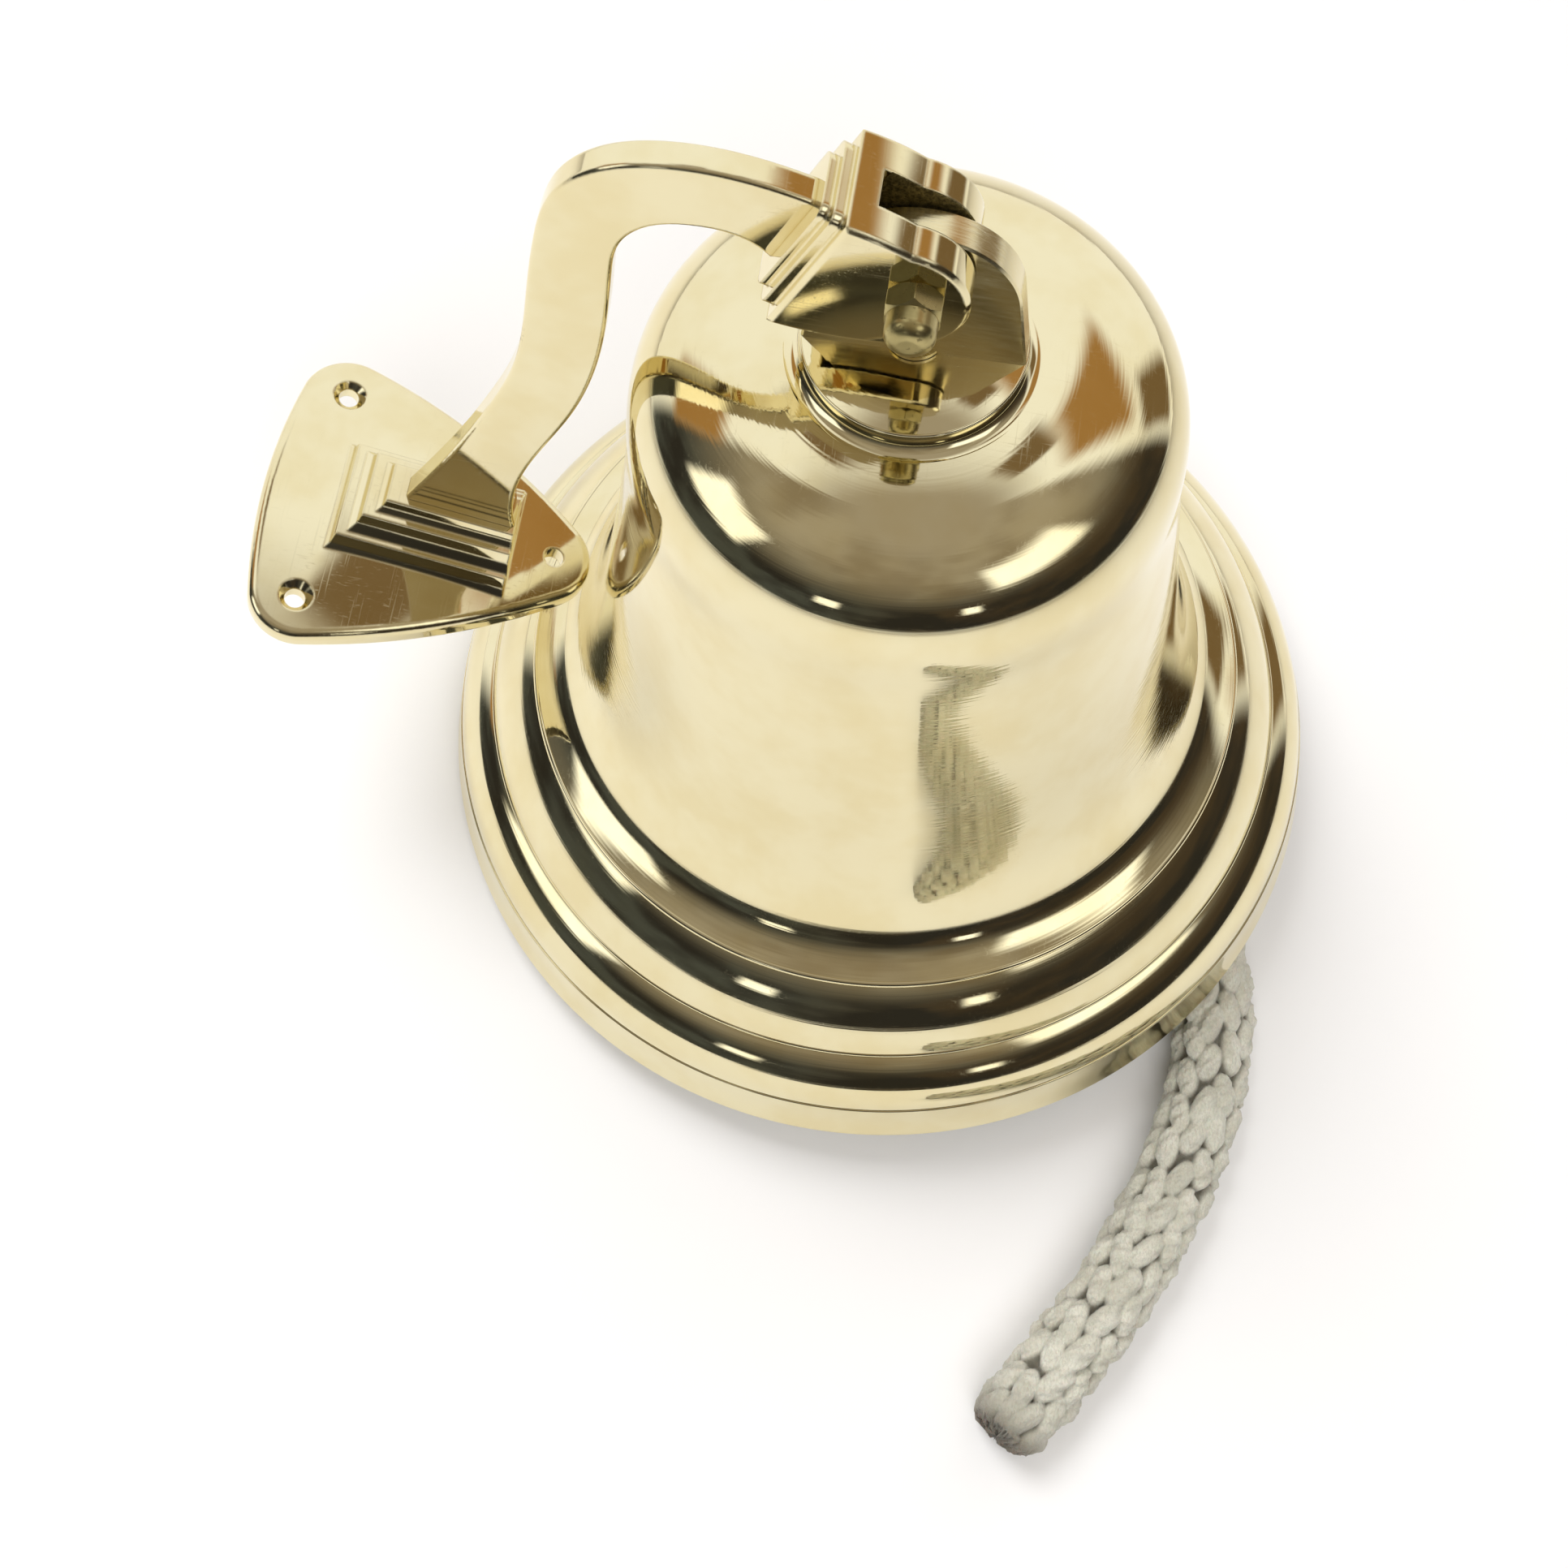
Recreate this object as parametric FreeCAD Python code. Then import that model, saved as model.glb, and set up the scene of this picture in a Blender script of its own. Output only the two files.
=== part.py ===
import FreeCAD, Part
import math
import os

# A polished brass ship bell, 200 mm across the mouth, standing mouth down.
# Its wall bracket hangs from one bolt and leans on the waist, and the rope
# of its clapper runs out under the rim, so the bell stands a little tilted.
# Everything except the rope is drawn on the bell's own upright axis, with the
# bracket towards -X, and is tipped into place at the end.

V = FreeCAD.Vector
X = V(1, 0, 0)
Y = V(0, 1, 0)
Z = V(0, 0, 1)

# Bell: outer sizes, as radius and height above the mouth
MOUTH_R = 100.0
LIP_TOP_R, LIP_TOP_Z = 97.7, 12.4
STEP_R, STEP_Z = 88.5, 25.6
BEAD_R = 77.9
SHOULDER_R, SHOULDER_Z = 50.9, 138.8
BOSS_R, BOSS_TOP = 19.8, 162.4
CROWN_INSIDE = 149.0
STUD_HOLE_R = 5.1

# Tongue that the bracket's fork straddles
LUG_THICK = 6.0
LUG_FOOT_HALF = 19.4
LUG_ROUND_R, LUG_ROUND_Z = 17.3, 176.6
BOLT_Z = 187.5
BOLT_R = 2.5
BOLT_RUNNING_GAP = 0.05

# Fork head and arm
SLOT_HALF = 3.5
HEAD_HALF = 10.0
ARM_HALF = 2.75

# Wall plate: the apex hole is the origin of the plate's own frame
APEX_HOLE_X, APEX_HOLE_Z = -72.6, 63.4
PLATE_SLOPE = 16.8
PLATE_THICK = 4.6
PLATE_MARGIN, PLATE_CORNER = 11.9, 10.4
PAIR_OUT, PAIR_HALF = 50.1, 24.4
SCREW_R, SINK_R = 2.1, 3.4

# Clapper
PIN_Z = 131.0
PIN_R = 2.0
CLAPPER_LEAN = 4.1
BALL_R = 15.0
BALL_DROP = 86.0
TAIL_DROP = 110.0

# Rope, and the tilt it gives the bell
ROPE_R = 7.5
TILT = 4.7
ROPE_SIDE = -28.0

# The origin is under the middle of bell and bracket; the mouth is centred here
MOUTH_X = 19.9


def solid_of(shape):
    """The single solid of a finished shape."""
    shape = shape.removeSplitter()
    if len(shape.Solids) != 1:
        raise ValueError("expected one solid, found %d" % len(shape.Solids))
    return shape.Solids[0]


def revolve(wire):
    """A closed wire in the XZ plane turned about the bell's axis."""
    return Part.Face(wire).revolve(V(0, 0, 0), Z, 360)


def cylinder(radius, length, start, axis):
    return Part.makeCylinder(radius, length, start, axis)


def block(low, high):
    return Part.makeBox(high.x - low.x, high.y - low.y, high.z - low.z, low)


def polyline(points):
    return [Part.makeLine(a, b) for a, b in zip(points, points[1:])]


def curve(points):
    """A smooth curve through points."""
    spline = Part.BSplineCurve()
    spline.interpolate(points)
    return spline.toShape()


def arc(start, middle, end):
    return Part.Arc(start, middle, end).toShape()


def extrude_y(wire, half):
    """A closed wire in the XZ plane given a thickness either side of it."""
    face = Part.Face(wire)
    face.translate(V(0, -half, 0))
    return face.extrude(V(0, 2 * half, 0))


def bevelled_slab(wire, half, bevel):
    """A slab with the outline of a wire in the XZ plane and bevelled edges."""
    slab = extrude_y(wire, half - bevel)
    narrow = wire.makeOffset2D(-bevel)
    for side in (-1, 1):
        wide_end = wire.copy()
        wide_end.translate(V(0, side * (half - bevel), 0))
        narrow_end = narrow.copy()
        narrow_end.translate(V(0, side * half, 0))
        slab = slab.fuse(Part.makeLoft([wide_end, narrow_end], True, True))
    return slab


def hex_prism(across_flats, length, start, axis):
    """A hexagon whose corners start straight above the axis."""
    radius = across_flats / math.sqrt(3)
    side = axis.cross(X) if abs(axis.dot(X)) < 0.9 else axis.cross(Y)
    side.normalize()
    other = axis.cross(side)
    corners = []
    for k in range(7):
        angle = math.radians(60 * k)
        corners.append(start + side * radius * math.cos(angle) + other * radius * math.sin(angle))
    return Part.Face(Part.makePolygon(corners)).extrude(axis * length)


def profile_point(radius, height):
    return V(radius, 0, height)


# ---------------------------------------------------------------- the bell

def bell_body():
    """Turned shell: boss, round shoulder, flared waist and the stepped lip."""
    p = profile_point
    boss_foot = p(BOSS_R + 0.3, BOSS_TOP - 3.0)
    dome_start = p(22.6, 158.4)
    bead_top = p(BEAD_R - 0.8, 41.2)
    outside = polyline([
        p(STUD_HOLE_R, CROWN_INSIDE), p(STUD_HOLE_R, BOSS_TOP), p(BOSS_R, BOSS_TOP), boss_foot,
    ])
    outside += [
        arc(boss_foot, p(20.9, 158.8), dome_start),
        curve([dome_start, p(30.0, 157.3), p(36.9, 155.2), p(42.7, 152.4), p(46.9, 148.9), p(49.6, 144.4),
               p(SHOULDER_R, SHOULDER_Z), p(51.5, 129.5), p(52.9, 117.0), p(56.9, 90.0), p(62.2, 63.0),
               p(66.4, 50.8), p(70.6, 44.6), bead_top]),
        arc(bead_top, p(BEAD_R, 40.9), p(BEAD_R - 0.2, 39.6)),
        arc(p(BEAD_R - 0.2, 39.6), p(84.3, 33.8), p(STEP_R, STEP_Z + 0.6)),
        arc(p(STEP_R, STEP_Z + 0.6), p(STEP_R + 0.5, STEP_Z), p(STEP_R + 0.2, STEP_Z - 0.6)),
        arc(p(STEP_R + 0.2, STEP_Z - 0.6), p(94.7, 20.3), p(LIP_TOP_R - 0.2, LIP_TOP_Z + 0.8)),
        arc(p(LIP_TOP_R - 0.2, LIP_TOP_Z + 0.8), p(LIP_TOP_R - 0.7, LIP_TOP_Z + 0.3),
            p(LIP_TOP_R, LIP_TOP_Z)),
        curve([p(LIP_TOP_R, LIP_TOP_Z), p(98.6, 7.0), p(MOUTH_R, 1.6)]),
        arc(p(MOUTH_R, 1.6), p(99.53, 0.47), p(98.4, 0.0)),
    ]
    inside = polyline([p(98.4, 0.0), p(93.2, 0.0)])
    inside += [
        arc(p(93.2, 0.0), p(92.07, 0.47), p(91.6, 1.6)),
        curve([p(91.6, 1.6), p(83.0, 17.0), p(72.0, 32.0), p(63.0, 48.0), p(58.2, 62.0), p(52.8, 90.0),
               p(48.4, 118.0), p(45.4, 136.0)]),
        curve([p(45.4, 136.0), p(41.0, 144.0), p(34.0, 147.8), p(26.0, CROWN_INSIDE)]),
    ]
    inside += polyline([p(26.0, CROWN_INSIDE), p(STUD_HOLE_R, CROWN_INSIDE)])
    return revolve(Part.Wire(Part.__sortEdges__(outside + inside)))


def crown_lug():
    """Upright tongue on the boss, cast with the stud that holds it down."""
    side_z = LUG_ROUND_Z + 2.0
    rise = math.sqrt(LUG_ROUND_R ** 2 - (side_z - LUG_ROUND_Z) ** 2)
    foot_left = V(-LUG_FOOT_HALF, 0, BOSS_TOP)
    foot_right = V(LUG_FOOT_HALF, 0, BOSS_TOP)
    left = V(-rise, 0, side_z)
    right = V(rise, 0, side_z)
    top = V(0, 0, LUG_ROUND_Z + LUG_ROUND_R)
    wire = Part.Wire([
        Part.makeLine(foot_left, left),
        arc(left, top, right),
        Part.makeLine(right, foot_right),
        Part.makeLine(foot_right, foot_left),
    ])
    tongue = extrude_y(wire, LUG_THICK / 2)
    rim = [e for e in tongue.Edges if abs(e.CenterOfMass.z - BOSS_TOP) > 0.5 and e.Length > 12]
    tongue = tongue.makeChamfer(0.4, rim)
    hole = cylinder(BOLT_R + BOLT_RUNNING_GAP, 20, V(0, -10, BOLT_Z), Y)
    stud = cylinder(5.0, BOSS_TOP + 1 - 139.0, V(0, 0, 139.0), Z)
    return tongue.fuse(stud).cut(hole)


def crown_washer():
    ring = cylinder(12.0, 1.6, V(0, 0, CROWN_INSIDE - 1.6), Z)
    return ring.cut(cylinder(STUD_HOLE_R, 4, V(0, 0, CROWN_INSIDE - 3), Z))


def crown_nut():
    top = CROWN_INSIDE - 1.6
    nut = hex_prism(16.0, 5.0, V(0, 0, top - 5.0), Z)
    nut = nut.common(chamfer_cone(9.2, 5.0, V(0, 0, top - 5.0), Z))
    return nut.cut(cylinder(5.0, 8, V(0, 0, top - 6.5), Z))


def chamfer_cone(radius, length, start, axis):
    """A cylinder with bevelled ends that rounds off a hexagon's corners."""
    bar = cylinder(radius, length, start, axis)
    return bar.makeChamfer(0.8, [e for e in bar.Edges if abs(e.Length - 2 * math.pi * radius) < 0.1])


def clapper_clevis():
    """Fork screwed on the end of the stud; the clapper hangs between its ears."""
    top = CROWN_INSIDE - 6.6
    collar = cylinder(9.0, top - 137.0, V(0, 0, 137.0), Z)
    ears = block(V(-5.5, -9.0, PIN_Z - 5.5), V(5.5, 9.0, 138.0))
    body = collar.fuse(ears)
    body = body.cut(block(V(-12, -3.6, PIN_Z - 8), V(12, 3.6, 137.0)))
    body = body.cut(cylinder(5.0, 10, V(0, 0, 139.0), Z))
    return body.cut(cylinder(PIN_R, 30, V(0, -15, PIN_Z), Y))


def clapper_pin():
    """Headed pin with its far end peened over."""
    shank = cylinder(PIN_R, 18.0, V(0, -9.0, PIN_Z), Y)
    head = cylinder(3.4, 1.6, V(0, -10.6, PIN_Z), Y)
    peen = cylinder(2.9, 1.2, V(0, 9.0, PIN_Z), Y)
    head = head.makeFillet(0.7, [e for e in head.Edges if abs(e.CenterOfMass.y + 10.6) < 0.01])
    peen = peen.makeFillet(0.6, [e for e in peen.Edges if abs(e.CenterOfMass.y - 10.2) < 0.01])
    return shank.fuse(head).fuse(peen)


# -------------------------------------------------------------- the clapper

def clapper_rod():
    """Rod with a flat eye at the top, running down to the tail's eye."""
    eye = cylinder(5.0, 6.4, V(0, -3.2, PIN_Z), Y)
    neck = cylinder(3.0, TAIL_DROP - 4.0, V(0, 0, PIN_Z - TAIL_DROP + 4.0), Z)
    tail = cylinder(6.0, 7.0, V(0, -3.5, PIN_Z - TAIL_DROP), Y)
    rod = neck.fuse(eye).fuse(tail)
    rod = rod.cut(cylinder(PIN_R + BOLT_RUNNING_GAP, 20, V(0, -10, PIN_Z), Y))
    return rod.cut(cylinder(3.4, 20, V(0, -10, PIN_Z - TAIL_DROP), Y))


def clapper_ball():
    """Turned ball with a short shoulder each side, pinned on the rod."""
    centre = V(0, 0, PIN_Z - BALL_DROP)
    ball = Part.makeSphere(BALL_R, centre)
    waist = cylinder(5.2, 2 * BALL_R + 6.0, centre - Z * (BALL_R + 3.0), Z)
    waist = waist.makeFillet(1.2, [e for e in waist.Edges if abs(e.Length - 2 * math.pi * 5.2) < 0.1])
    return ball.fuse(waist).cut(cylinder(3.0, 80, centre - Z * 40, Z))


def lean(shape):
    """Let a clapper piece hang plumb about its pin in the tilted bell."""
    shape = shape.copy()
    shape.rotate(V(0, 0, PIN_Z), Y, CLAPPER_LEAN)
    return shape


# ------------------------------------------------------------------ the rope

RING_R, RING_WIRE = 6.6, 1.5
ROPE_DOWN = 22.0
ROPE_GAP = 0.3


def tail_centre():
    """Centre of the clapper's tail eye as it hangs, on the bell's axis frame."""
    angle = math.radians(CLAPPER_LEAN)
    return V(-TAIL_DROP * math.sin(angle), 0, PIN_Z - TAIL_DROP * math.cos(angle))


def rope_heading():
    """The way the rope leaves the tail eye: out over +X and a little down."""
    angle = math.radians(ROPE_DOWN)
    return V(math.cos(angle), 0, -math.sin(angle))


def tail_ring():
    """Ring square to the two eyes that it links."""
    centre = tail_centre() + rope_heading() * RING_R
    return Part.makeTorus(RING_R, RING_WIRE, centre, rope_heading().cross(Y))


def rope_ferrule():
    """Brass cup crimped on the rope's end, with a holed tongue for the ring."""
    heading = rope_heading()
    hole = tail_centre() + heading * 2 * RING_R
    cup_start = hole + heading * 5.5
    cup = cylinder(ROPE_R + 1.5, 17.0, cup_start, heading)
    closed_end = [e for e in cup.Edges if e.Closed and (e.CenterOfMass - cup_start).Length < 0.1]
    cup = cup.makeFillet(2.0, closed_end)
    cup = cup.cut(cylinder(ROPE_R + ROPE_GAP, 15.2, cup_start + heading * 1.8, heading))
    across = V(heading.z, 0, -heading.x) * -1
    corner = hole - across * 4.0 - V(0, 2.0, 0)
    tongue = Part.Face(Part.makePolygon([
        corner,
        corner + across * 8.0,
        corner + across * 8.0 + heading * 6.4,
        corner + heading * 6.4,
        corner,
    ])).extrude(Y * 4.0)
    tongue = tongue.fuse(cylinder(4.0, 4.0, hole - Y * 2.0, Y))
    tongue = tongue.cut(cylinder(2.2, 10.0, hole - Y * 5.0, Y))
    return cup.fuse(tongue)


def rope_points(tip):
    """Corners of the rope's run, from the ferrule out over the floor."""
    start = tip(tail_centre() + rope_heading() * (2 * RING_R + 7.4))
    toward = tip(tail_centre() + rope_heading() * (2 * RING_R + 32.0))
    return [
        start,
        toward,
        V(78.0, -9.0, ROPE_R),
        V(98.0, -28.0, ROPE_R),
        V(108.0, -57.5, ROPE_R),
        V(104.5, -88.0, ROPE_R),
        V(93.0, -118.0, ROPE_R),
        V(81.5, -138.0, ROPE_R),
        V(68.8, -156.5, ROPE_R),
    ]


def rope_path(points):
    """Straight runs joined by tangent arcs, and the radius of each arc."""
    edges = []
    radii = []
    at = points[0]
    for before, corner, after in zip(points, points[1:], points[2:]):
        back = (before - corner).normalize()
        on = (after - corner).normalize()
        half_turn = (math.pi - back.getAngle(on)) / 2
        reach = 0.45 * min((before - corner).Length, (after - corner).Length)
        radius = reach / math.tan(half_turn)
        radii.append(radius)
        enter = corner + back * reach
        leave = corner + on * reach
        centre_way = (back + on).normalize()
        centre = corner + centre_way * math.hypot(radius, reach)
        middle = centre - centre_way * radius
        edges.append(Part.makeLine(at, enter))
        edges.append(arc(enter, middle, leave))
        at = leave
    edges.append(Part.makeLine(at, points[-1]))
    return Part.Wire(edges), radii


def rope_lanyard(tip):
    path, radii = rope_path(rope_points(tip))
    start = path.Edges[0].firstVertex().Point
    way = path.Edges[0].tangentAt(path.Edges[0].FirstParameter)
    section = Part.Wire(Part.makeCircle(ROPE_R, start, way))
    rope = path.makePipeShell([section], True, True)
    expected = math.pi * ROPE_R ** 2 * path.Length
    print("rope radii mm", ["%.0f" % r for r in radii])
    print("rope length mm %.1f, volume over section x length %.4f" % (path.Length, rope.Volume / expected))
    return rope


# --------------------------------------------------------------- the bracket

def head_axis():
    """Unit vector from the fork head back along the arm's end."""
    return V(-0.904, 0, 0.4274).normalize()


def slab_on_head(offset, thick, half_along, half_y, centre):
    """A rounded slab square to the arm's end, for the steps of the collar."""
    way = head_axis()
    along = V(way.z, 0, -way.x)
    start = centre + way * offset
    corners = [
        start - along * half_along - Y * half_y,
        start + along * half_along - Y * half_y,
        start + along * half_along + Y * half_y,
        start - along * half_along + Y * half_y,
    ]
    slab = Part.Face(Part.makePolygon(corners + corners[:1])).extrude(way * thick)
    upright = [e for e in slab.Edges if abs(e.Length - thick) < 0.01]
    return slab.makeFillet(2.2, upright)


def fork_head():
    """Block with a round nose, slotted for the tongue and bored for the bolt."""
    peak = V(-11.6, 0, 202.6)
    nose_top = V(-1.0, 0, 197.6)
    nose = V(8.8, 0, 187.0)
    nose_low = V(1.0, 0, 174.2)
    heel = V(-24.2, 0, 175.4)
    wire = Part.Wire([
        Part.makeLine(heel, peak),
        arc(peak, V(-6.4, 0, 200.6), nose_top),
        arc(nose_top, nose, nose_low),
        arc(nose_low, V(-12.0, 0, 173.4), heel),
    ])
    block_shape = bevelled_slab(wire, HEAD_HALF, 0.7)
    middle = (peak + heel) * 0.5
    block_shape = block_shape.fuse(slab_on_head(-1.0, 3.0, 13.6, 8.2, middle))
    block_shape = block_shape.fuse(slab_on_head(1.5, 2.1, 12.0, 6.4, middle))
    slot = extrude_y(Part.makePolygon([
        V(-6.8, 0, 215), V(-7.4, 0, 199.4), V(-23.2, 0, 171.4), V(20, 0, 160), V(20, 0, 215),
        V(-6.8, 0, 215),
    ]), SLOT_HALF)
    block_shape = block_shape.cut(slot)
    return block_shape.cut(cylinder(BOLT_R, 40, V(0, -20, BOLT_Z), Y))


def bracket_arm():
    """Flat gooseneck bar from the plate's plinth up and over to the fork."""
    root = plate_point(22.1, 0, 13.0)
    way = head_axis()
    along = V(way.z, 0, -way.x)
    seat = (V(-11.6, 0, 202.6) + V(-24.2, 0, 175.4)) * 0.5 + way * 3.6
    high_end = seat + along * 8.6
    low_end = seat - along * 8.4
    outer_root = plate_point(33.6, 0, 13.0)
    inner_root = plate_point(10.6, 0, 13.0)
    outer = curve([
        outer_root, V(-88.6, 0, 106.0), V(-79.6, 0, 123.0), V(-72.0, 0, 141.0), V(-67.4, 0, 163.0),
        V(-64.2, 0, 180.0), V(-59.2, 0, 193.2), V(-51.0, 0, 200.2), V(-42.0, 0, 202.6), V(-31.6, 0, 202.3),
        high_end,
    ])
    inner = curve([
        low_end, V(-30.4, 0, 187.4), V(-37.5, 0, 188.4), V(-44.2, 0, 186.8), V(-49.3, 0, 181.6),
        V(-51.6, 0, 172.6),
        V(-55.4, 0, 148.0), V(-62.6, 0, 126.0), V(-72.8, 0, 105.5), inner_root,
    ])
    wire = Part.Wire(Part.__sortEdges__([
        outer, Part.makeLine(high_end, low_end), inner, Part.makeLine(inner_root, outer_root),
    ]))
    bar = extrude_y(wire, ARM_HALF)
    long_edges = [e for e in bar.Edges if e.Length > 60]
    return bar.makeFillet(0.8, long_edges)


def plate_frame():
    """Placement of the wall plate: its +X runs outward, +Z up off its face."""
    slope = math.radians(PLATE_SLOPE)
    out = V(-math.cos(slope), 0, math.sin(slope))
    normal = V(math.sin(slope), 0, math.cos(slope))
    matrix = FreeCAD.Matrix(
        out.x, 0, normal.x, APEX_HOLE_X,
        out.y, -1, normal.y, 0,
        out.z, 0, normal.z, APEX_HOLE_Z,
        0, 0, 0, 1,
    )
    return FreeCAD.Placement(matrix)


def plate_point(out, across, height):
    return plate_frame().multVec(V(out, across, height))


def bulged_side(a, b, margin, bulge_r):
    """A big disc whose edge passes just outside the side from a to b."""
    along = (b - a).normalize()
    outward = V(along.y, -along.x, 0)
    middle = (a + b) * 0.5
    centre = middle + outward * (margin - bulge_r)
    return cylinder(bulge_r, 20, V(centre.x, centre.y, -10), Z)


def screw_places():
    return [V(0, 0, 0), V(PAIR_OUT, PAIR_HALF, 0), V(PAIR_OUT, -PAIR_HALF, 0)]


def tier(low_x, high_x, half_y, base, height, inset):
    """One step of the plinth, drawn in on all sides towards its top."""
    def rectangle(shrink, level):
        x0, x1, y1 = low_x + shrink * 0.3, high_x - shrink, half_y - shrink
        return Part.makePolygon([
            V(x0, -y1, level), V(x1, -y1, level), V(x1, y1, level), V(x0, y1, level), V(x0, -y1, level),
        ])
    middle = rectangle(inset * 0.75, base + height * 0.45)
    return Part.makeLoft([rectangle(0, base), middle, rectangle(inset, base + height)], True, True)


def wall_plate():
    """Rounded triangle with a soft dome, three sunk screw holes and a plinth."""
    apex, front, rear = screw_places()
    plate = bulged_side(apex, rear, PLATE_MARGIN, 150)
    plate = plate.common(bulged_side(rear, front, 12.2, 120))
    plate = plate.common(bulged_side(front, apex, PLATE_MARGIN, 150))
    plate = plate.common(block(V(-40, -60, -PLATE_THICK), V(90, 60, 1.2)))
    corners = [e for e in plate.Edges if abs(e.Length - PLATE_THICK - 1.2) < 0.01]
    plate = plate.makeFillet(PLATE_CORNER, corners)
    dome_r = 420.0
    plate = plate.common(Part.makeSphere(dome_r, V(32, 0, 1.0 - dome_r)))
    face_edges = [e for e in plate.Edges if e.CenterOfMass.z > -2.2 and e.BoundBox.ZMin > -3.9]
    plate = plate.makeFillet(2.0, face_edges)
    plate = plate.fuse(tier(8.6, 48.6, 14.0, -1.0, 6.0, 3.2))
    plate = plate.fuse(tier(9.2, 44.0, 10.2, 4.4, 5.4, 2.8))
    plate = plate.fuse(tier(9.8, 39.4, 6.6, 9.2, 3.8, 2.2))
    for place in screw_places():
        hole = cylinder(SCREW_R, 20, place - Z * 10, Z)
        sink = Part.makeCone(SCREW_R, SINK_R + 1.3, 1.6 + 1.3, place - Z * 1.7, Z)
        plate = plate.cut(hole).cut(sink)
    plate = solid_of(plate)
    plate.Placement = plate_frame()
    return plate


def pivot_bolt():
    """Round-headed bolt through the fork and the tongue."""
    shank = cylinder(BOLT_R, 2 * HEAD_HALF + 7.0, V(0, -HEAD_HALF - 7.0, BOLT_Z), Y)
    head = cylinder(4.6, 4.6, V(0, HEAD_HALF, BOLT_Z), Y)
    end = HEAD_HALF + 4.6
    head = head.makeFillet(2.4, [e for e in head.Edges if abs(e.CenterOfMass.y - end) < 0.01])
    return shank.fuse(head)


def acorn_nut():
    """Hexagon with a domed cap, closed over the end of the bolt."""
    seat = -HEAD_HALF
    flats = hex_prism(9.0, 4.4, V(0, seat, BOLT_Z), -Y)
    flats = flats.common(chamfer_cone(5.15, 4.4, V(0, seat, BOLT_Z), -Y))
    cap = cylinder(4.3, 9.4, V(0, seat, BOLT_Z), -Y)
    cap = cap.makeFillet(2.6, [e for e in cap.Edges if abs(e.CenterOfMass.y - seat + 9.4) < 0.01])
    bore = cylinder(BOLT_R, 7.0, V(0, seat, BOLT_Z), -Y)
    return flats.fuse(cap).cut(bore)


# ---------------------------------------------------------------- assembly

def tilted():
    """Placement that tips the bell up on the side where the rope comes out."""
    side = math.radians(ROPE_SIDE)
    foot = V(-98.4 * math.cos(side), -98.4 * math.sin(side), 0)
    axis = V(math.sin(side), -math.cos(side), 0)
    tip = FreeCAD.Placement(V(0, 0, 0), FreeCAD.Rotation(axis, TILT), foot)
    return FreeCAD.Placement(V(MOUTH_X, 0, 0), FreeCAD.Rotation()).multiply(tip)


def main():
    os.makedirs("parts", exist_ok=True)
    place = tilted()
    upright = {
        "bell_body": bell_body(),
        "crown_lug": crown_lug(),
        "crown_washer": crown_washer(),
        "crown_nut": crown_nut(),
        "clapper_clevis": clapper_clevis(),
        "clapper_pin": clapper_pin(),
        "clapper_rod": lean(clapper_rod()),
        "clapper_ball": lean(clapper_ball()),
        "tail_ring": tail_ring(),
        "rope_ferrule": rope_ferrule(),
        "wall_plate": wall_plate(),
        "bracket_arm": bracket_arm(),
        "fork_head": fork_head(),
        "pivot_bolt": pivot_bolt(),
        "acorn_nut": acorn_nut(),
    }
    shapes = {}
    for name, shape in upright.items():
        shape = solid_of(shape)
        shape.Placement = place.multiply(shape.Placement)
        shapes[name] = shape
    shapes["rope_lanyard"] = solid_of(rope_lanyard(place.multVec))
    for name, shape in shapes.items():
        if not shape.isValid():
            raise ValueError(name + " is not a valid solid")
        shape.exportStep("parts/%s.step" % name)
        box = shape.BoundBox
        print("%-15s %9.0f mm3  z %.2f to %.2f" % (name, shape.Volume, box.ZMin, box.ZMax))
    landmarks = {
        "bolt": V(0, 0, BOLT_Z),
        "pin": V(0, 0, PIN_Z),
        "apex hole": plate_point(0, 0, 0),
        "tail eye": tail_centre(),
    }
    for label, point in landmarks.items():
        print(label, place.multVec(point))
    print("y axis", place.Rotation.multVec(Y), "z axis", place.Rotation.multVec(Z))


main()
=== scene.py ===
import math
import random

import bpy
import numpy as np
from mathutils import Matrix, Vector


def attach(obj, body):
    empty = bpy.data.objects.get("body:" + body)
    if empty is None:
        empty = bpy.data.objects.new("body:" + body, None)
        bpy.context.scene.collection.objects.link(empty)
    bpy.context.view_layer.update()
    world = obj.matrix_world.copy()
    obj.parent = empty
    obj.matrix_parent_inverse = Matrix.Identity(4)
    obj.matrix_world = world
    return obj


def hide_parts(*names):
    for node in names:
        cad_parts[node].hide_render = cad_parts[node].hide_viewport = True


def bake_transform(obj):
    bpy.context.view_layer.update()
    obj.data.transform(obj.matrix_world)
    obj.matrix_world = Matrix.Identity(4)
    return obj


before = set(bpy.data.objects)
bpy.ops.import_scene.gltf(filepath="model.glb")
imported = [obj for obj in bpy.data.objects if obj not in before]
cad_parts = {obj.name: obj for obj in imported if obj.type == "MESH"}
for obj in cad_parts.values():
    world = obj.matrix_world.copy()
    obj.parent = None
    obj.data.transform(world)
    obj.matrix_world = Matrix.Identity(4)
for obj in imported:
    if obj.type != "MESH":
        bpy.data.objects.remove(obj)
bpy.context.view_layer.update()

# A polished brass ship bell on a white floor: its wall bracket hangs from one
# bolt at the crown and a cotton rope runs out from under the tilted rim.
# Lengths are in metres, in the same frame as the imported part.

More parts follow.
